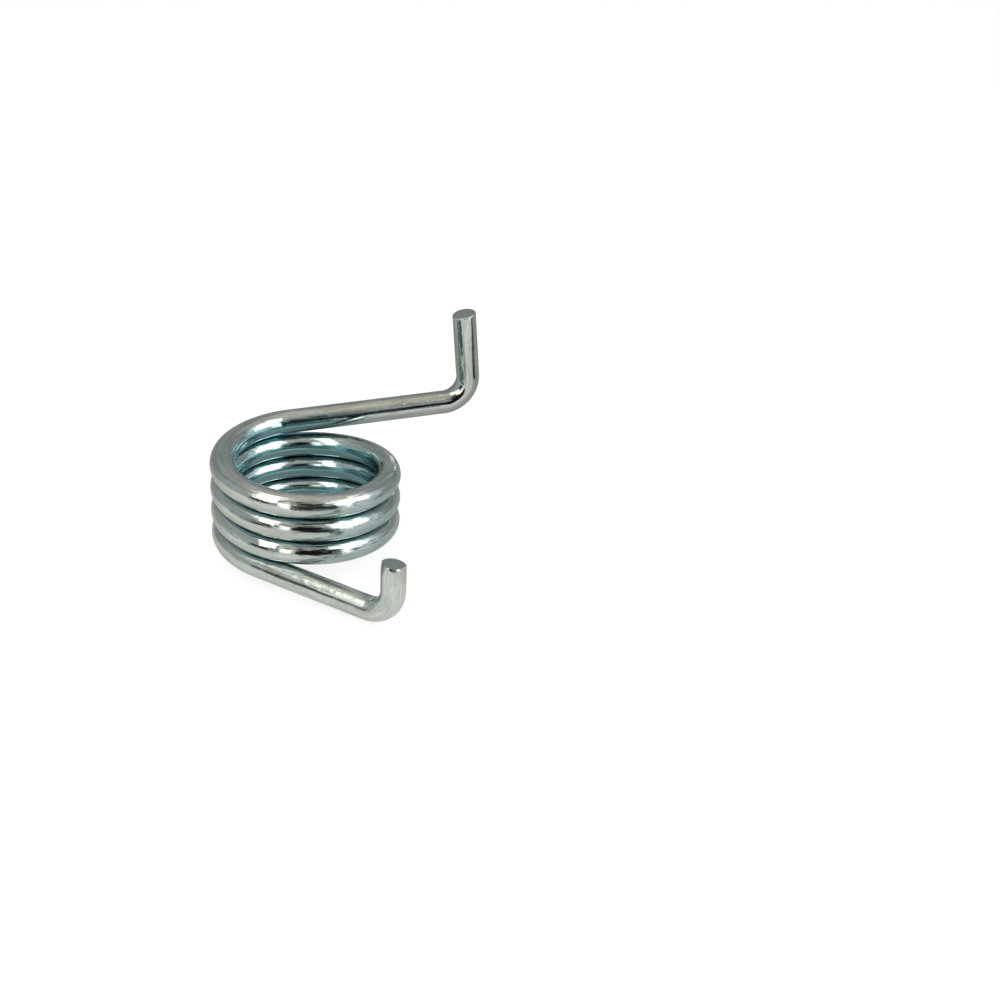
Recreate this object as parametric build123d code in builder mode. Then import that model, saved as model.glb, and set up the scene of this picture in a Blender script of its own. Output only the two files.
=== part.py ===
from build123d import *
import math
import os

# Torsion spring, cold-formed from one length of round wire: a close-wound left-hand body, a leg running
# off tangent at each end of it, and at the end of each leg a tail folded up beside the coil axis.
# Millimetres. Z is the coil axis, and the origin is the middle of the body on that axis. The upper leg
# leaves the body at +Y and points along +X.

# Wire
wire_diameter = 3.0

# Body
bore_diameter = 17.0
body_turns = 3.375
turn_gap = 0.06  # daylight between one turn and the next, along the axis

# Legs, each from where it leaves the body to the corner where its axis meets the tail's
upper_leg_reach = 23.4
lower_leg_reach = 18.6

# Tails, each from that corner to the middle of its cut face
upper_tail_length = 12.0
lower_tail_length = 7.1

# Bends, both folded round the same pin through a little more than a right angle
bend_angle = 93.0
bending_pin_diameter = 3.6
pin_mark_depth = 0.1  # how far the pin bites into the inside of the bend

# Sheared ends. Each turn runs round the tail from the outside of its bend, anticlockwise from above
cut_edge_radius = 0.18  # the wire's edge rolls over as the blade enters
upper_cut_slant = 6.0
upper_cut_turn = 0.0  # to the side where the cut stands highest
lower_cut_slant = 9.0
lower_cut_turn = -124.0

# Flats that the two blades leave on the shorter tail, each deepest at the cut
moving_blade_turn = -135.0
moving_blade_depth = 0.3
moving_blade_length = 1.6
fixed_blade_turn = 0.0
fixed_blade_depth = 0.3
fixed_blade_length = 2.4

wire_radius = wire_diameter / 2
coil_radius = (bore_diameter + wire_diameter) / 2
pitch = wire_diameter + turn_gap
body_height = pitch * body_turns
bend_radius = (bending_pin_diameter + wire_diameter) / 2
upper_end_angle = 90.0
lower_end_angle = upper_end_angle + 360.0 * body_turns


class Leg:
    """A leg and its tail, laid out from the end of the body where the leg leaves along its tangent."""

    def __init__(self, root, along, reach, tail_length, cut_slant, cut_turn):
        level = Vector(along.X, along.Y, 0).normalized()
        self.bend_axis = level.cross(Vector(0, 0, 1))
        self.tail_along = self.folded(along, bend_angle)
        self.root = root
        self.corner = root + along * reach
        self.tip = self.corner + self.tail_along * tail_length
        self.cut_normal = self.round_tail(self.folded(self.tail_along, cut_slant), cut_turn)
        self.bend_outside = self.tail_along.cross(self.bend_axis)
        self.bend_inside = (self.tail_along - along).normalized()
        corner_to_pin = bend_radius / math.cos(math.radians(bend_angle / 2))
        self.pin_centre = self.corner + self.bend_inside * corner_to_pin

    def folded(self, direction, angle):
        """A direction turned about the bend, the way the tail is folded up."""
        return direction.rotate(Axis((0, 0, 0), self.bend_axis), angle)

    def round_tail(self, direction, angle):
        """A direction turned about the tail."""
        return direction.rotate(Axis((0, 0, 0), self.tail_along), angle)


body = Helix(pitch, body_height, coil_radius, center=(0, 0, -body_height / 2), lefthand=True)
body = body.rotate(Axis.Z, lower_end_angle)
upper = Leg(
    body @ 1, body % 1, upper_leg_reach, upper_tail_length, upper_cut_slant, upper_cut_turn
)
lower = Leg(
    body @ 0, -(body % 0), lower_leg_reach, lower_tail_length, lower_cut_slant, lower_cut_turn
)

with BuildPart() as spring_wire:
    # The wire, drawn past both cuts so that the shears have something to take off
    with BuildLine() as centreline:
        add(body)
        for leg in (upper, lower):
            past_the_cut = leg.tip + leg.tail_along * wire_diameter
            FilletPolyline(leg.root, leg.corner, past_the_cut, radius=bend_radius)
    path = Wire(centreline.edges())
    # The section's seam starts on the side of the lower bend, clear of the pin and of both blades
    with BuildSketch(Plane(origin=path @ 0, x_dir=lower.bend_axis, z_dir=path % 0)):
        Circle(wire_radius)
    sweep(path=path)

    for leg in (upper, lower):
        # Sheared end: the waste above the slanted cut goes, and the edge is left rolled over
        with BuildSketch(Plane(origin=leg.tip, z_dir=leg.cut_normal)):
            Circle(wire_diameter)
        extrude(amount=2 * wire_diameter, mode=Mode.SUBTRACT)
        cut_face = faces().filter_by(GeomType.PLANE).sort_by_distance(leg.tip)[0]
        fillet(cut_face.edges(), radius=cut_edge_radius)

        # Bending pin's mark: a narrow cylindrical band across the inside of the bend
        with Locations(Plane(origin=leg.pin_centre, z_dir=leg.bend_axis)):
            Cylinder(bending_pin_diameter / 2 + pin_mark_depth, wire_diameter, mode=Mode.SUBTRACT)

    # Flats left by the blades: each starts at the surface of the tail and is deepest at the cut
    for turn, depth, length in (
        (moving_blade_turn, moving_blade_depth, moving_blade_length),
        (fixed_blade_turn, fixed_blade_depth, fixed_blade_length),
    ):
        blade_side = lower.round_tail(lower.bend_outside, turn)
        flat_start = lower.tip - lower.tail_along * length + blade_side * wire_radius
        flat_normal = blade_side * length + lower.tail_along * depth
        with BuildSketch(Plane(origin=flat_start, z_dir=flat_normal)):
            Circle(wire_diameter)
        extrude(amount=wire_radius, mode=Mode.SUBTRACT)

spring_wire.part.label = "spring_wire"
os.makedirs("parts", exist_ok=True)
export_step(spring_wire.part, "parts/spring_wire.step")
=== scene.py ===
"""A torsion spring in bright zinc-plated wire, standing on a pale table in soft light.

One length of wire: a Geometry Nodes tree sweeps a round section along it, and then the marks of the
tools that bent and cut it are pressed into the mesh.
"""

import math

import bpy
import numpy as np
from mathutils import Matrix, Vector


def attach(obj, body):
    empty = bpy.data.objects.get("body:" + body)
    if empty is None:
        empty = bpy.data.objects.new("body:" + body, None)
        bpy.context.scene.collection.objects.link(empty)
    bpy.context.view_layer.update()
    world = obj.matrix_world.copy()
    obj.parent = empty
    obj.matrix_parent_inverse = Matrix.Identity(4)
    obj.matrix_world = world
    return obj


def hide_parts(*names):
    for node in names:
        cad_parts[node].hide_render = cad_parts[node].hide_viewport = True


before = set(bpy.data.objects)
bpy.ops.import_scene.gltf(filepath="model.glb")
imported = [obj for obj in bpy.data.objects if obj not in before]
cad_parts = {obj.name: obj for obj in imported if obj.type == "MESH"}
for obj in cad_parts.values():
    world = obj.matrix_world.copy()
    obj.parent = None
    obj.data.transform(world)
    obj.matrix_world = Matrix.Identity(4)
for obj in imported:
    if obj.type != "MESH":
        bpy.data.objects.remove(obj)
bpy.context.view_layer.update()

MM = 0.001

# ---------------------------------------------------------------- sizes of the spring, in mm and degrees

wire_diameter = 3.0
skin = 0.006  # the dressed wire stays this far inside the plain one
bore_diameter = 17.0
body_turns = 3.375
turn_gap = 0.06
upper_leg_reach = 23.4
lower_leg_reach = 18.6
upper_tail_length = 12.0
lower_tail_length = 7.1
bend_angle = 93.0
bending_pin_diameter = 3.6
pin_mark_depth = 0.1
pin_mark_edge = 0.05  # how softly the pin's mark runs out
cut_edge_radius = 0.18
cut_face_dome = 0.03  # the middle of a sheared face stands this much proud of its rim

# Turns run round a tail from the outside of its bend, anticlockwise from above
upper_cut_slant = 6.0
upper_cut_turn = 0.0  # to the side where the cut stands highest
lower_cut_slant = 9.0
lower_cut_turn = -124.0
slant_takes_up = 2.0  # how far down the tail the wire makes up for the slant

# Flats that the blades left on the lower tail, each as the side of the tail, the depth and the length
moving_blade = (-135.0, 0.3, 1.6)
fixed_blade = (0.0, 0.3, 2.4)
lip_chips = ((-59.0, 0.13, 0.36), (-25.0, 0.2, 0.3))

# Dents from handling: distance from the upper cut, the side, and the dent's length, width and depth
handling_dents = (
    (18.95, (0.0, -0.76, 0.65), 0.25, 0.12, 0.04),
    (35.35, (0.22, -0.94, 0.28), 0.22, 0.2, 0.06),
    (245.8, (-0.66, -0.75, -0.03), 0.5, 0.15, 0.03),
)

wire_radius = wire_diameter / 2
coil_radius = (bore_diameter + wire_diameter) / 2
pitch = wire_diameter + turn_gap
body_height = pitch * body_turns
bend_radius = (bending_pin_diameter + wire_diameter) / 2
upper_end_angle = 90.0
turned_in_all = 360.0 * body_turns

# The turns hang a little low on one side, from half a turn down
low_side = -28.0  # degrees round from where the upper leg leaves
low_side_reach = 75.0
low_side_drop = 0.34
low_side_starts = 180.0

# Fineness of the wire's mesh
sides = 72
station_spacing = 0.3
fine_spacing = 0.14  # in the bends and by the cuts
beside_bend = 1.5  # how far past a bend it still counts as the bend
by_upper_cut = 1.0
UP = np.array([0.0, 0.0, 1.0])


# ---------------------------------------------------------------- centreline of the wire

def unit(v):
    """A vector made one long."""
    return v / np.linalg.norm(v)


def turned(v, axis, degrees):
    """A vector turned about an axis through the origin."""
    a = math.radians(degrees)
    return v * math.cos(a) + np.cross(axis, v) * math.sin(a) + axis * (axis @ v) * (1 - math.cos(a))


class Leg:
    """A leg and its tail, laid out from the end of the body where the leg leaves along its tangent."""

    def __init__(self, root, along, reach, tail_length, cut_slant, cut_turn):
        self.bend_axis = np.cross(unit(along * (1, 1, 0)), UP)
        self.tail_along = turned(along, self.bend_axis, bend_angle)
        self.along = along
        self.corner = root + along * reach
        self.tip = self.corner + self.tail_along * tail_length
        self.cut_slant = cut_slant
        self.bend_outside = np.cross(self.tail_along, self.bend_axis)
        self.cut_uphill = self.round_tail(cut_turn)
        self.setback = bend_radius * math.tan(math.radians(bend_angle / 2))
        self.bend_length = bend_radius * math.radians(bend_angle)
        self.bend_from = tail_length - self.setback
        self.bend_to = self.bend_from + self.bend_length
        self.length = self.bend_to + reach - self.setback
        inward = unit(self.tail_along - along)
        self.pin_centre = self.corner + inward * bend_radius / math.cos(math.radians(bend_angle / 2))

    def round_tail(self, angle):
        """The side of the tail that lies so far round it from the outside of the bend."""
        return turned(self.bend_outside, self.tail_along, angle)

    def point(self, from_tip):
        """The centreline at a distance from the cut, measured along the wire."""
        if from_tip < self.bend_from:
            return self.tip - self.tail_along * from_tip
        if from_tip > self.bend_to:
            return self.corner + self.along * (self.bend_to - from_tip - self.setback)
        swept = math.degrees((self.bend_to - from_tip) / bend_radius)
        start = self.corner - self.along * self.setback
        return self.pin_centre + turned(start - self.pin_centre, self.bend_axis, swept)


def body_point(turned_by):
    """The centreline of the body, so many degrees down from where the upper leg leaves it."""
    a = math.radians(upper_end_angle + turned_by)
    off_lowest = (turned_by - low_side + 180) % 360 - 180
    drop = 0.0
    if turned_by > low_side_starts and abs(off_lowest) < low_side_reach:
        drop = low_side_drop * math.cos(math.radians(90 * off_lowest / low_side_reach)) ** 2
    height = body_height / 2 - pitch * turned_by / 360.0 - drop
    return np.array([coil_radius * math.cos(a), coil_radius * math.sin(a), height])


def body_down(turned_by):
    """The direction in which the wire runs down the body there."""
    a = math.radians(upper_end_angle + turned_by)
    return unit(np.array([-math.sin(a), math.cos(a), -pitch / (2 * math.pi * coil_radius)]))


upper = Leg(
    body_point(0),
    -body_down(0),
    upper_leg_reach,
    upper_tail_length,
    upper_cut_slant,
    upper_cut_turn,
)
lower = Leg(
    body_point(turned_in_all),
    body_down(turned_in_all),
    lower_leg_reach,
    lower_tail_length,
    lower_cut_slant,
    lower_cut_turn,
)
body_length = math.radians(turned_in_all) * math.hypot(coil_radius, pitch / (2 * math.pi))
wire_length = upper.length + body_length + lower.length


def wire_point(along):
    """The centreline at a distance along the wire from the cut of the upper tail."""
    if along < upper.length:
        return upper.point(along)
    if along > upper.length + body_length:
        return lower.point(wire_length - along)
    return body_point((along - upper.length) / body_length * turned_in_all)


def cut_end():
    """(distance from the tip, radius as a share of the wire's) of the rings that close a sheared end."""
    flat_radius = wire_radius - cut_edge_radius
    innermost = 0.02
    off_tip = 1e-4
    rings = []
    for share in np.linspace(innermost, 1, 12):
        rings.append((cut_face_dome * share**2 + off_tip, share * flat_radius / wire_radius))
    for angle in np.linspace(90, 0, 9)[1:]:
        a = math.radians(angle)
        down = cut_face_dome + cut_edge_radius * (1 - math.sin(a))
        rings.append((down, (flat_radius + cut_edge_radius * math.cos(a)) / wire_radius))
    return rings


def stations():
    """Where the section stands along the wire, and how much of its full radius it has there."""
    end = cut_end()
    placed = list(end)
    along = end[-1][0]
    stop = wire_length - end[-1][0]
    fine_stretches = (
        (0, by_upper_cut),
        (upper.bend_from - beside_bend, upper.bend_to + beside_bend),
        (wire_length - lower.bend_to - beside_bend, wire_length),
    )
    while True:
        fine = any(low < along < high for low, high in fine_stretches)
        along += fine_spacing if fine else station_spacing
        if along > stop - fine_spacing / 2:
            break
        placed.append((along, 1.0))
    placed += [(wire_length - down, share) for down, share in reversed(end)]
    return placed


# ---------------------------------------------------------------- nodes

def add(tree, kind, inputs=None, **settings):
    """Adds a node, sets what it is told, and fills each input with a value or links it to a socket."""
    made = tree.nodes.new(kind)
    for name, value in settings.items():
        setattr(made, name, value)
    for name, value in (inputs or {}).items():
        if isinstance(value, bpy.types.NodeSocket):
            tree.links.new(value, made.inputs[name])
        else:
            made.inputs[name].default_value = value
    return made


def colour(code):
    """An sRGB hex colour as the linear colour that Blender works in."""
    parts = [int(code[i : i + 2], 16) / 255 for i in (1, 3, 5)]
    return (*[p / 12.92 if p <= 0.04045 else ((p + 0.055) / 1.055) ** 2.4 for p in parts], 1.0)


# ---------------------------------------------------------------- materials

def drawn_zinc():
    """Bright zinc electroplate with a clear blue passivate, on cold-drawn spring steel wire.

    It gives a near mirror, grey where it sees the room and blue-green where it sees itself, with the long
    fine lines of the drawing die and a slight unevenness of the plating. The blue-green comes partly from
    the metal mirroring itself and partly from painted shade mixed into its colour in the bore, in the
    grooves and on the lower right sides.
    """
    made = bpy.data.materials.new("bright_zinc_on_drawn_wire")
    made.use_nodes = True
    tree = made.node_tree
    shader = tree.nodes["Principled BSDF"]
    shader.inputs["Metallic"].default_value = 1.0
    place = add(tree, "ShaderNodeAttribute", attribute_name="straight_wire").outputs["Vector"]

    # How fine each unevenness is across the wire, in mm, and how much it is drawn out along it. The
    # die's own lines are 0.02 to 0.05 mm apart, and these are drawn coarser, so that they show.
    uneven = {}
    for name, size, drawn_out, detail in (
        ("cloud", 2.0, 1.0, 3.0),
        ("smear", 0.6, 6.0, 3.0),
        ("die_lines", 0.25, 30.0, 3.0),
        ("brushing", 0.4, 16.0, 2.0),
        ("ripple", 1.2, 2.5, 2.0),
        ("mottle", 0.45, 1.6, 3.0),
    ):
        stretched = add(tree, "ShaderNodeMapping", {"Vector": place, "Scale": (1, 1, 1 / drawn_out)})
        uneven[name] = add(
            tree,
            "ShaderNodeTexNoise",
            {"Vector": stretched.outputs[0], "Scale": 1 / (size * MM), "Detail": detail},
        ).outputs[0]

    # The passivate is cloudy. Painted blue-green shade deepens the colour in the bore, and more in the
    # grooves and on the lower right sides, standing in for the metal mirroring itself there
    shade_scuff_shares = add(tree, "ShaderNodeAttribute", attribute_name="painted_shade_and_scuff").outputs["Vector"]
    shade_scuff_shares = add(tree, "ShaderNodeSeparateXYZ", {0: shade_scuff_shares}).outputs
    rubbed = add(tree, "ShaderNodeAttribute", attribute_name="rubbed").outputs["Fac"]
    tint = colour("#cdd6d0")
    for share, mixed_to in (
        (uneven["cloud"], "#e1e7e1"),
        (shade_scuff_shares["X"], "#a8ced2"),
        (shade_scuff_shares["Y"], "#86b2b9"),
    ):
        tint = add(
            tree, "ShaderNodeMix", {0: share, 6: tint, 7: colour(mixed_to)}, data_type="RGBA"
        ).outputs[2]
    # Smears and die lines darken it a little, but hardly in the bore, where the wire lay on the arbor
    for name, darkest in (("smear", 0.8), ("die_lines", 0.84), ("mottle", 0.93)):
        least = add(
            tree,
            "ShaderNodeMath",
            {0: shade_scuff_shares["X"], 1: 1 - darkest, 2: darkest},
            operation="MULTIPLY_ADD",
        )
        shade = add(
            tree,
            "ShaderNodeMapRange",
            {"Value": uneven[name], "From Min": 0.35, "From Max": 0.65, "To Min": least.outputs[0]},
        )
        tint = add(
            tree, "ShaderNodeVectorMath", {0: tint, "Scale": shade.outputs[0]}, operation="SCALE"
        ).outputs[0]
    tree.links.new(tint, shader.inputs["Base Color"])

    # Brushed lines blur what they mirror. The bore is an even satin, and the lower leg is rubbed dull
    limits = {}
    for name, on_legs, on_turns, in_bore, on_rubbed in (
        ("To Min", 0.07, 0.08, 0.16, 0.17),
        ("To Max", 0.2, 0.3, 0.22, 0.36),
    ):
        wound = add(
            tree,
            "ShaderNodeMath",
            {0: shade_scuff_shares["Z"], 1: on_turns - on_legs, 2: on_legs},
            operation="MULTIPLY_ADD",
        )
        limits[name] = add(
            tree,
            "ShaderNodeMath",
            {0: shade_scuff_shares["X"], 1: in_bore - on_turns, 2: wound.outputs[0]},
            operation="MULTIPLY_ADD",
        ).outputs[0]
        limits[name] = add(
            tree,
            "ShaderNodeMath",
            {0: rubbed, 1: on_rubbed - on_legs, 2: limits[name]},
            operation="MULTIPLY_ADD",
        ).outputs[0]
    rough = add(
        tree,
        "ShaderNodeMapRange",
        {"Value": uneven["brushing"], "From Min": 0.45, "From Max": 0.65, **limits},
    )
    tree.links.new(rough.outputs[0], shader.inputs["Roughness"])

    # Winding leaves the turns uneven, more than the legs, and the arbor smooths the bore. Each depth is
    # in mm, and the shares say how much of it is left in the bore and on the legs.
    relief = None
    for name, depth, in_bore, on_legs in (
        ("ripple", 0.12, 0.15, 0.3),
        ("mottle", 0.016, 0.0, 0.6),
        ("die_lines", 0.035, 0.0, 0.4),
    ):
        strength = add(
            tree,
            "ShaderNodeMath",
            {0: shade_scuff_shares["X"], 1: in_bore - 1, 2: 1.0},
            operation="MULTIPLY_ADD",
        )
        wound = add(
            tree,
            "ShaderNodeMath",
            {0: shade_scuff_shares["Z"], 1: 1 - on_legs, 2: on_legs},
            operation="MULTIPLY_ADD",
        )
        strength = add(
            tree,
            "ShaderNodeMath",
            {0: strength.outputs[0], 1: wound.outputs[0]},
            operation="MULTIPLY",
        )
        given = {"Height": uneven[name], "Distance": depth * MM, "Strength": strength.outputs[0]}
        if relief:
            given["Normal"] = relief
        relief = add(tree, "ShaderNodeBump", given).outputs[0]
    tree.links.new(relief, shader.inputs["Normal"])
    return made


def sheared_zinc():
    """The same plating on a sheared face: dull, because the steel under it is torn."""
    grain_size = 0.25
    torn_depth = 0.03
    made = bpy.data.materials.new("zinc_on_sheared_steel")
    made.use_nodes = True
    tree = made.node_tree
    shader = tree.nodes["Principled BSDF"]
    shader.inputs["Metallic"].default_value = 1.0
    shader.inputs["Roughness"].default_value = 0.42
    place = add(tree, "ShaderNodeAttribute", attribute_name="straight_wire").outputs["Vector"]
    grain = add(
        tree, "ShaderNodeTexNoise", {"Vector": place, "Scale": 1 / (grain_size * MM), "Detail": 4.0}
    )
    tint = add(
        tree,
        "ShaderNodeMix",
        {0: grain.outputs[0], 6: colour("#98a199"), 7: colour("#c6ccc5")},
        data_type="RGBA",
    )
    tree.links.new(tint.outputs[2], shader.inputs["Base Color"])
    torn = add(
        tree,
        "ShaderNodeBump",
        {"Height": grain.outputs[0], "Distance": torn_depth * MM, "Strength": 1.0},
    )
    tree.links.new(torn.outputs[0], shader.inputs["Normal"])
    return made


# ---------------------------------------------------------------- the wire

def sweep_tree():
    """Sweeps a round section along a line of points.

    Each point of the result keeps, in straight_wire, where it was on the wire before it was bent: its
    place across the section, and its distance along.
    """
    tree = bpy.data.node_groups.new("swept_wire", "GeometryNodeTree")
    for name, kind in (
        ("Line", "NodeSocketGeometry"),
        ("Wire Diameter", "NodeSocketFloat"),
        ("Sides", "NodeSocketInt"),
        ("Plated Wire", "NodeSocketMaterial"),
        ("Sheared Face", "NodeSocketMaterial"),
    ):
        tree.interface.new_socket(name, in_out="INPUT", socket_type=kind)
    tree.interface.new_socket("Wire", in_out="OUTPUT", socket_type="NodeSocketGeometry")
    given = add(tree, "NodeGroupInput").outputs
    stored = {}
    for name, kind in (
        ("run", "FLOAT"),
        ("across", "FLOAT_VECTOR"),
        ("swell", "FLOAT"),
        ("sheared", "FLOAT"),
    ):
        stored[name] = add(
            tree, "GeometryNodeInputNamedAttribute", {"Name": name}, data_type=kind
        ).outputs[0]

    line = add(tree, "GeometryNodeMeshToCurve", {"Mesh": given["Line"]})
    run = add(tree, "GeometryNodeSplineParameter").outputs["Length"]
    measured = add(
        tree,
        "GeometryNodeStoreNamedAttribute",
        {"Geometry": line.outputs[0], "Name": "run", "Value": run},
        data_type="FLOAT",
        domain="POINT",
    )
    radius = add(tree, "ShaderNodeMath", {0: given["Wire Diameter"], 1: 0.5}, operation="MULTIPLY")
    circle = add(
        tree,
        "GeometryNodeCurvePrimitiveCircle",
        {"Resolution": given["Sides"], "Radius": radius.outputs[0]},
        mode="RADIUS",
    )
    across = add(tree, "GeometryNodeInputPosition").outputs[0]
    section = add(
        tree,
        "GeometryNodeStoreNamedAttribute",
        {"Geometry": circle.outputs[0], "Name": "across", "Value": across},
        data_type="FLOAT_VECTOR",
        domain="POINT",
    )
    swept = add(
        tree,
        "GeometryNodeCurveToMesh",
        {
            "Curve": measured.outputs[0],
            "Profile Curve": section.outputs[0],
            "Scale": stored["swell"],
            "Fill Caps": True,
        },
    )
    scaled = add(
        tree,
        "ShaderNodeVectorMath",
        {0: stored["across"], "Scale": stored["swell"]},
        operation="SCALE",
    )
    parts = add(tree, "ShaderNodeSeparateXYZ", {0: scaled.outputs[0]}).outputs
    straight = add(tree, "ShaderNodeCombineXYZ", {"X": parts[0], "Y": parts[1], "Z": stored["run"]})
    placed = add(
        tree,
        "GeometryNodeStoreNamedAttribute",
        {"Geometry": swept.outputs[0], "Name": "straight_wire", "Value": straight.outputs[0]},
        data_type="FLOAT_VECTOR",
        domain="POINT",
    )
    smooth = add(tree, "GeometryNodeSetShadeSmooth", {"Geometry": placed.outputs[0]})
    real = add(tree, "GeometryNodeRealizeInstances", {"Geometry": smooth.outputs[0]})
    plated = add(
        tree, "GeometryNodeSetMaterial", {"Geometry": real.outputs[0], "Material": given["Plated Wire"]}
    )
    on_face = add(tree, "FunctionNodeCompare", {0: stored["sheared"], 1: 0.5}, operation="GREATER_THAN")
    faced = add(
        tree,
        "GeometryNodeSetMaterial",
        {
            "Geometry": plated.outputs[0],
            "Selection": on_face.outputs[0],
            "Material": given["Sheared Face"],
        },
    )
    add(tree, "NodeGroupOutput", {"Wire": faced.outputs[0]})
    return tree


def swept_wire(name, plated, sheared):
    """The bent wire as a plain mesh, ring after ring from the upper cut to the lower one."""
    placed = stations()
    line = bpy.data.meshes.new(name + "_line")
    points = [tuple(wire_point(along) * MM) for along, _ in placed]
    line.from_pydata(points, [(i, i + 1) for i in range(len(points) - 1)], [])

    # The upper cut is torn right out over its rolled lip, and the lower one only on its flat face
    hair = 0.001
    torn_share_above = 1 - hair
    torn_share_below = 1 - cut_edge_radius / wire_radius + hair
    torn = []
    for along, share in placed:
        torn_share = torn_share_above if along < by_upper_cut else torn_share_below
        torn.append(float(share < torn_share))
    for attribute, values in (("swell", [share for _, share in placed]), ("sheared", torn)):
        line.attributes.new(attribute, "FLOAT", "POINT").data.foreach_set("value", values)
    piece = bpy.data.objects.new(name, line)
    bpy.context.scene.collection.objects.link(piece)

    sweep = piece.modifiers.new("sweep", "NODES")
    sweep.node_group = sweep_tree()
    sizes = {
        "Wire Diameter": (wire_diameter - 2 * skin) * MM,
        "Sides": sides,
        "Plated Wire": plated,
        "Sheared Face": sheared,
    }
    for item in sweep.node_group.interface.items_tree:
        if item.in_out == "INPUT" and item.name in sizes:
            sweep[item.identifier] = sizes[item.name]
    seen = piece.evaluated_get(bpy.context.evaluated_depsgraph_get())
    made = bpy.data.meshes.new_from_object(seen)
    piece.modifiers.remove(sweep)
    piece.data = made
    made.name = name
    return piece, len(placed)


def read_rings(piece, rings):
    """The points of the mesh in mm, as rings along the wire by sides round it."""
    co = np.empty(len(piece.data.vertices) * 3, np.float32)
    piece.data.vertices.foreach_get("co", co)
    return co.reshape(rings, sides, 3).astype(float) / MM


def write_rings(piece, co):
    """Puts the points back in the mesh."""
    piece.data.vertices.foreach_set("co", (co * MM).astype(np.float32).ravel())
    piece.data.update()


def smooth_step(low, high, value):
    """Rises softly from 0 at low to 1 at high; low may be the greater of the two."""
    t = np.clip((value - low) / (high - low), 0, 1)
    return t * t * (3 - 2 * t)


def slant_cut(co, leg, from_tip):
    """Tilts a sheared face, and the wire below it takes up the difference."""
    uphill = (co - leg.tip) @ leg.cut_uphill
    share = smooth_step(slant_takes_up, 0.0, from_tip)
    return co + (math.tan(math.radians(leg.cut_slant)) * uphill * share)[..., None] * leg.tail_along


def press_blade(co, leg, from_tip, turn, depth, length):
    """Presses a flat on the side of a tail, deepest at the cut."""
    side = leg.round_tail(turn)
    facing = unit(side * length + leg.tail_along * depth)
    start = leg.tip - leg.tail_along * length + side * wire_radius
    proud = np.maximum((co - start) @ facing, 0) * (from_tip < leg.bend_from)
    return co - proud[..., None] * facing


def press_pin(co, leg, from_tip):
    """Presses the bending pin into the inside of a bend, with a soft edge round the mark."""
    out = co - leg.pin_centre
    out -= (out @ leg.bend_axis)[..., None] * leg.bend_axis
    distance = np.linalg.norm(out, axis=2)
    near = (from_tip > leg.bend_from - beside_bend) & (from_tip < leg.bend_to + beside_bend)
    short = bending_pin_diameter / 2 + pin_mark_depth - distance
    soft = np.clip(short + pin_mark_edge, 0, 2 * pin_mark_edge) ** 2 / (4 * pin_mark_edge)
    moved = np.where(short > pin_mark_edge, short, soft) * near
    return co + (moved / distance)[..., None] * out


def press_dent(co, along, toward_side, length, width, depth):
    """Presses a small dent in the side of the wire, so far from the upper cut."""
    middle = wire_point(along)
    step = 0.05
    run = unit(wire_point(along + step) - wire_point(along - step))
    side = np.array(toward_side, float)
    side = unit(side - (side @ run) * run)
    off = co - (middle + side * wire_radius)
    share = np.exp(-(((off @ run) / length) ** 2) - ((off @ np.cross(run, side)) / width) ** 2)
    share *= (off @ side > -wire_radius / 2) & (np.abs(off @ run) < 3 * length)
    return co - (depth * share)[..., None] * side


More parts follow.
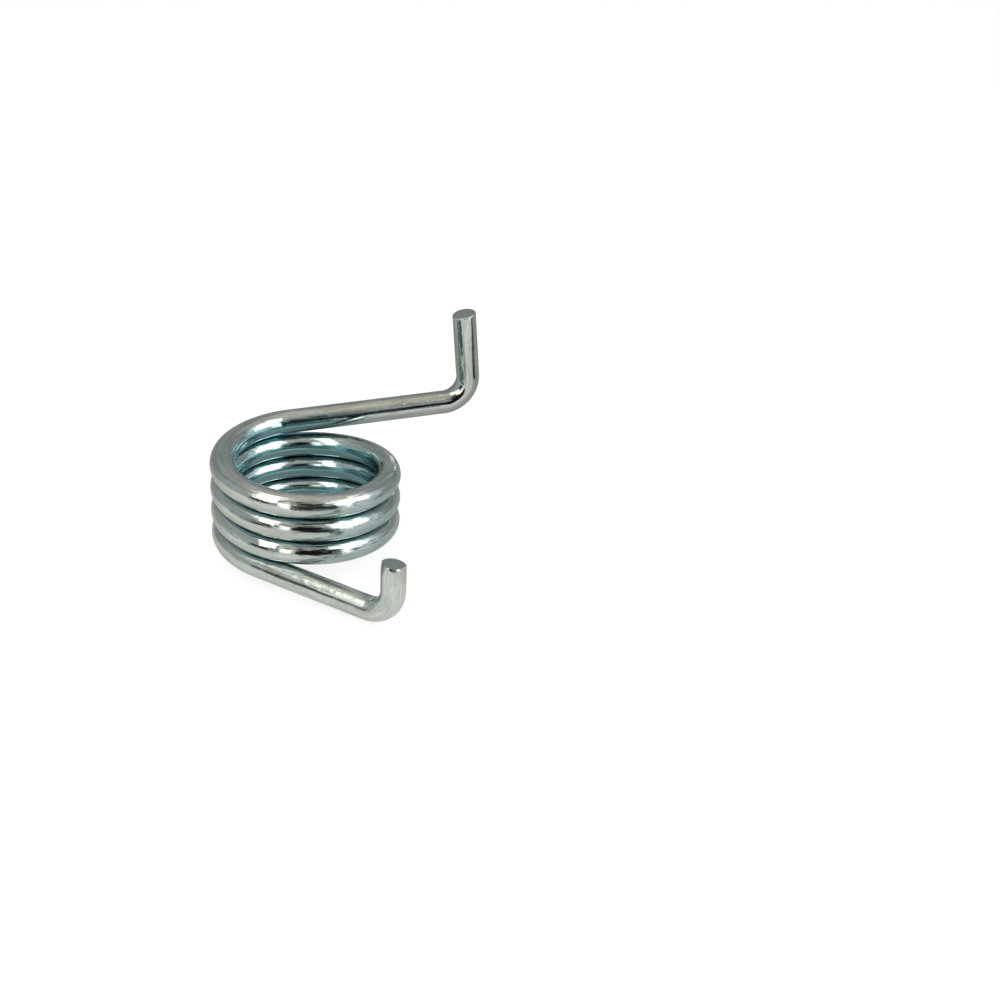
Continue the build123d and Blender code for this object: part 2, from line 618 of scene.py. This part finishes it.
def painted_shade_and_scuff(co, along):
    """Three shares from 0 to 1 for each point of the wire.

    The first says how far it lies in the bore, for the painted blue-green shade there and for the bore's
    smoother, satin finish. The second says how much painted blue-green shade it gets in the grooves and
    on the lower sides right of the coil's axis. The third says how much winding scuffed it: wholly on the
    turns, partly on the lower leg, and not on the upper one.
    """
    # Degrees round the coil, from an end of the body, over which a look comes in
    on_body = (-40, 10)
    near_body_above = (-80, 0)
    near_body_below = (-50, 10)
    beside_next_turn = (300, 360)
    off_upper_leg = (10, -10)
    on_lower_leg = (-10, 30)

    # How squarely the surface faces a way, over which a look comes in
    into_bore = (0.1, 0.9)
    up_at_turn_above = (0.78, 1.0)
    down_at_turn_below = (0.72, 1.0)
    down_to_blue_shade = (-0.9, 0.3)

    open_to_sky = 0.55  # the upper side of a turn counts as less in the bore by this share, so the painted shade spares the highlights there
    blue_shaded_reach = (-8, 6)  # mm to the right of the coil's axis
    blue_shade_on_body = 0.5
    more_on_upper_leg = 0.4
    less_on_lower_leg = 0.65

    facing = co - co.mean(axis=1, keepdims=True)
    facing /= np.linalg.norm(facing, axis=2, keepdims=True)
    up = facing[:, :, 2]
    middle = co.mean(axis=1, keepdims=True) * (1, 1, 0)
    outward = middle / np.linalg.norm(middle, axis=2, keepdims=True)
    inward = -(facing * outward).sum(axis=2)
    turned_by = ((along - upper.length) / body_length * turned_in_all)[:, None]
    left_to_turn = turned_in_all - turned_by

    in_body = smooth_step(*on_body, turned_by) * smooth_step(*on_body, left_to_turn)
    bore_side = smooth_step(*into_bore, inward - open_to_sky * np.maximum(up, 0))

    # Painted shade goes in a groove only where a turn lies above or below, and also on the lower sides to
    # the right of the axis
    by_body = smooth_step(*near_body_above, turned_by) * smooth_step(*near_body_below, left_to_turn)
    turn_above = smooth_step(*beside_next_turn, turned_by) * smooth_step(*up_at_turn_above, up)
    turn_below = smooth_step(*beside_next_turn, left_to_turn) * smooth_step(*down_at_turn_below, -up)
    # Painted bluish shade on the lower sides, to the right of the coil's axis
    blue_shaded_side = smooth_step(*down_to_blue_shade, -up) * smooth_step(*blue_shaded_reach, middle[:, :, 0])
    blue_shaded_side *= blue_shade_on_body + more_on_upper_leg * smooth_step(*off_upper_leg, turned_by)
    groove = np.maximum(np.maximum(turn_above, turn_below), blue_shaded_side)

    scuffed = 1 - less_on_lower_leg * smooth_step(*on_lower_leg, -left_to_turn)
    scuffed = np.broadcast_to(smooth_step(*on_body, turned_by) * scuffed, groove.shape)
    return np.stack([in_body * bore_side, by_body * groove, scuffed], axis=2)


spring, ring_count = swept_wire("plated_wire", drawn_zinc(), sheared_zinc())
rings = read_rings(spring, ring_count)
along_wire = np.array([along for along, _ in stations()])
# Shares for the painted blue-green shade of the bore and grooves, and for the scuffing of the turns
shade_scuff_shares = painted_shade_and_scuff(rings, along_wire)
spring.data.attributes.new("painted_shade_and_scuff", "FLOAT_VECTOR", "POINT").data.foreach_set(
    "vector", shade_scuff_shares.astype(np.float32).ravel()
)

# The lower leg and its tail are rubbed, wholly so from 5 mm past where the leg leaves the body
rubbed = np.repeat(smooth_step(1, -5, wire_length - lower.length - along_wire), sides)
spring.data.attributes.new("rubbed", "FLOAT", "POINT").data.foreach_set(
    "value", rubbed.astype(np.float32)
)

from_upper_cut = along_wire[:, None]
from_lower_cut = wire_length - from_upper_cut
for leg, from_tip in ((upper, from_upper_cut), (lower, from_lower_cut)):
    rings = slant_cut(rings, leg, from_tip)
    rings = press_pin(rings, leg, from_tip)
for turn, depth, length in (moving_blade, fixed_blade, *lip_chips):
    rings = press_blade(rings, lower, from_lower_cut, turn, depth, length)
for dent in handling_dents:
    rings = press_dent(rings, *dent)
write_rings(spring, rings)

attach(spring, "root")
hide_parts("spring_wire")


# ---------------------------------------------------------------- table, light and camera

def toward(azimuth, elevation):
    """A direction: azimuth runs clockwise from +Y as seen from above."""
    a = math.radians(azimuth)
    e = math.radians(elevation)
    return Vector((math.sin(a) * math.cos(e), math.cos(a) * math.cos(e), math.sin(e)))


# The spring stands on its lower bend and the lowest turn, so the table leans by this much to meet it
table_lean = 5.2
table_lean_azimuth = 215.0
table_size = 3000.0
table_glow = 0.8  # what the camera sees on top of the lit paper, so that it comes out white
painted_glow_lamp_side = 0.74  # painted glow that only the metal mirrors, on the lamp side of the table
painted_glow_far_side = 0.12  # the painted glow on the other side
painted_shadow_under_spring = 0.35  # painted shadow: how much of either glow is left under the spring
painted_bright_azimuth = -155.0  # azimuth towards which the painted glow is brightest


def flat_sheet(name, width, depth):
    """The mesh of one oblong face round the origin, in metres."""
    x = width / 2
    y = depth / 2
    mesh = bpy.data.meshes.new(name)
    mesh.from_pydata([(-x, -y, 0), (x, -y, 0), (x, y, 0), (-x, y, 0)], [], [(0, 1, 2, 3)])
    return mesh


def lay_on_table(name, middle, width, depth, above=0.0):
    """A flat sheet on the table, or so far above it, with its middle so far along X and Y, all in mm."""
    normal = toward(table_lean_azimuth, 90 - table_lean)
    lowest = (rings.reshape(-1, 3) @ np.array(normal)).min()
    mesh = flat_sheet(name, width * MM, depth * MM)
    upright = Vector((0, 0, 1)).rotation_difference(normal).to_matrix().to_4x4()
    mesh.transform(upright @ Matrix.Translation(Vector((*middle, lowest + above)) * MM))
    sheet = bpy.data.objects.new(name, mesh)
    bpy.context.scene.collection.objects.link(sheet)
    return sheet


def table_top():
    """Sheet of white paper, which keeps the spring's shadow.

    In the metal it shows a painted glow, bright on the side of the lamps and dim on the other, and a
    painted shadow under the spring.
    """
    made = bpy.data.materials.new("white_paper")
    made.use_nodes = True
    tree = made.node_tree
    tree.nodes.clear()
    ray = add(tree, "ShaderNodeLightPath").outputs
    paper = add(tree, "ShaderNodeBsdfDiffuse", {"Color": colour("#9a9a97")})
    bounced = add(
        tree, "ShaderNodeMath", {0: ray["Is Glossy Ray"], 1: ray["Is Transmission Ray"]}, operation="ADD"
    )

    # How far a place on the table lies towards the lamps, and how far from the coil's axis; these shape
    # the painted glow and its painted shadow under the spring. The limits, where the glow is dull and
    # where it is bright, are in mm.
    on_table = add(tree, "ShaderNodeTexCoord").outputs["Object"]
    lamp_side = add(
        tree,
        "ShaderNodeVectorMath",
        {0: on_table, 1: toward(painted_bright_azimuth, 0)},
        operation="DOT_PRODUCT",
    ).outputs["Value"]
    reach = add(tree, "ShaderNodeVectorMath", {0: on_table}, operation="LENGTH").outputs["Value"]
    in_metal = bounced.outputs[0]
    for value, dull, bright, weakest, strongest in (
        (lamp_side, -25, 18, painted_glow_far_side, painted_glow_lamp_side),
        (reach, bore_diameter / 2, bore_diameter / 2 + wire_diameter, painted_shadow_under_spring, 1.0),
    ):
        share = add(
            tree,
            "ShaderNodeMapRange",
            {
                "Value": value,
                "From Min": dull * MM,
                "From Max": bright * MM,
                "To Min": weakest,
                "To Max": strongest,
            },
        )
        in_metal = add(
            tree, "ShaderNodeMath", {0: in_metal, 1: share.outputs[0]}, operation="MULTIPLY"
        ).outputs[0]
    seen = add(tree, "ShaderNodeMath", {0: ray["Is Camera Ray"], 1: table_glow}, operation="MULTIPLY")
    white = add(tree, "ShaderNodeEmission", {"Color": colour("#ffffff"), "Strength": seen.outputs[0]})
    # Painted glow with its painted shadow, seen only in the metal
    painted_metal_glow = add(tree, "ShaderNodeEmission", {"Color": colour("#e7e6e4"), "Strength": in_metal})
    glow = add(tree, "ShaderNodeAddShader", {0: white.outputs[0], 1: painted_metal_glow.outputs[0]})
    both = add(tree, "ShaderNodeAddShader", {0: paper.outputs[0], 1: glow.outputs[0]})
    add(tree, "ShaderNodeOutputMaterial", {"Surface": both.outputs[0]})
    lay_on_table("table", (0, 0), table_size, table_size).data.materials.append(made)


def room():
    """Soft grey room: lightest overhead, paler on its left wall, and white where the camera sees it."""
    world = bpy.data.worlds.new("room")
    bpy.context.scene.world = world
    world.use_nodes = True
    tree = world.node_tree
    tree.nodes.clear()
    ray = add(tree, "ShaderNodeLightPath").outputs
    way = add(tree, "ShaderNodeTexCoord").outputs["Generated"]
    parts = add(tree, "ShaderNodeSeparateXYZ", {0: way}).outputs
    shade = add(tree, "ShaderNodeValToRGB", {0: parts["Z"]})
    stops = shade.color_ramp.elements
    stops[0].color = colour("#909899")
    stops[1].color = colour("#dad5ca")
    for height, tint in ((0.64, "#999fa0"), (0.77, "#abaaa8"), (0.87, "#c8c4bc")):
        stops.new(height).color = colour(tint)
    left_wall = add(
        tree,
        "ShaderNodeMapRange",
        {"Value": parts["X"], "From Min": -0.95, "From Max": -0.4, "To Min": 1.45, "To Max": 1.0},
        interpolation_type="SMOOTHSTEP",
    )
    walls = add(
        tree, "ShaderNodeBackground", {"Color": shade.outputs[0], "Strength": left_wall.outputs[0]}
    )
    white = add(tree, "ShaderNodeBackground", {"Color": colour("#ffffff"), "Strength": 1.0})
    both = add(
        tree, "ShaderNodeMixShader", {0: ray["Is Camera Ray"], 1: walls.outputs[0], 2: white.outputs[0]}
    )
    add(tree, "ShaderNodeOutputWorld", {"Surface": both.outputs[0]})


def stand(thing, azimuth, elevation, distance, turn=0.0):
    """Stands a lamp or a card there, facing the spring; a turn leans its top to the spring's right."""
    away = toward(azimuth, elevation)
    facing = away.to_track_quat("Z", "Y").to_matrix() @ Matrix.Rotation(math.radians(turn), 3, "Z")
    thing.matrix_world = Matrix.Translation(away * distance * MM) @ facing.to_4x4()
    bpy.context.scene.collection.objects.link(thing)
    return thing


def span(angle, distance):
    """How wide a thing is, in metres, that fills this angle at this distance."""
    return 2 * distance * MM * math.tan(math.radians(angle / 2))


def softbox(name, azimuth, elevation, width, height, brightness, tint, turn=0.0, distance=320.0):
    """A soft box; width and height are the angles that it fills, seen from the spring."""
    lamp = bpy.data.lights.new(name, "AREA")
    lamp.shape = "RECTANGLE"
    lamp.size = span(width, distance)
    lamp.size_y = span(height, distance)
    lamp.energy = brightness * math.pi * lamp.size * lamp.size_y
    lamp.color = colour(tint)[:3]
    return stand(bpy.data.objects.new(name, lamp), azimuth, elevation, distance, turn)


def darken(card, tint):
    """Covers a card in matt cloth, for bright metal to mirror; nothing but the metal sees it."""
    made = bpy.data.materials.new("matt_cloth_" + card.name)
    made.use_nodes = True
    shader = made.node_tree.nodes["Principled BSDF"]
    shader.inputs["Base Color"].default_value = colour(tint)
    shader.inputs["Roughness"].default_value = 0.8
    shader.inputs["Specular IOR Level"].default_value = 0.1
    card.data.materials.append(made)
    card.visible_camera = False
    card.visible_diffuse = False
    card.visible_shadow = False


def dark_card(name, azimuth, elevation, width, height, tint, distance=260.0):
    """A dark card standing up; width and height are the angles that it fills, seen from the spring."""
    mesh = flat_sheet(name, span(width, distance), span(height, distance))
    card = stand(bpy.data.objects.new(name, mesh), azimuth, elevation, distance)
    darken(card, tint)


table_top()
room()

# Two boxes on the left, a window on the right, and dark cards beside and over the camera. Each has its
# azimuth, elevation, width and height in degrees, then its brightness if it is a lamp, and its tint.
softbox("key_box", -118, 48, 19, 56, 3.0, "#fffaf2", turn=16)
softbox("warm_strip", -147, 18, 13, 44, 1.7, "#fff6e2")
softbox("window", 124, 38, 33, 42, 2.6, "#f6faff")
softbox("window_edge", 143, 18, 10, 74, 2.2, "#f6faff", distance=150.0)
softbox("window_side", 96, 32, 14, 44, 0.5, "#e6f0ff")
softbox("window_foot", 113, 3, 30, 18, 0.6, "#d8e8ff")
dark_card("camera_side_right", 167, 6, 25, 37, "#0e2238", distance=115.0)
dark_card("camera_side_left", 190, 6, 25, 37, "#242428", distance=115.0)
dark_card("camera_side_top", 182, 32, 27, 34, "#2c3036", distance=75.0)
dark_card("low_card", -117, 7, 24, 21, "#5a5955")
darken(lay_on_table("dark_cloth_beside", (70, -18), 40, 20, above=0.3), "#324644")

# Camera, in mm and degrees
camera_place = (-32.77, -169.99, 92.47)
camera_azimuth = 18.784
camera_elevation = -28.132
camera_roll = 3.474
camera_lens = 57.364
camera_data = bpy.data.cameras.new("camera")
camera_data.sensor_width = 36.0
camera_data.lens = camera_lens
camera_data.clip_start = 0.005
camera = bpy.data.objects.new("camera", camera_data)
bpy.context.scene.collection.objects.link(camera)
level_look = (-toward(camera_azimuth, camera_elevation)).to_track_quat("Z", "Y").to_matrix()
camera.matrix_world = (
    Matrix.Translation(Vector(camera_place) * MM)
    @ level_look.to_4x4()
    @ Matrix.Rotation(math.radians(camera_roll), 4, "Z")
)
bpy.context.scene.camera = camera
bpy.context.scene.view_settings.view_transform = "Standard"
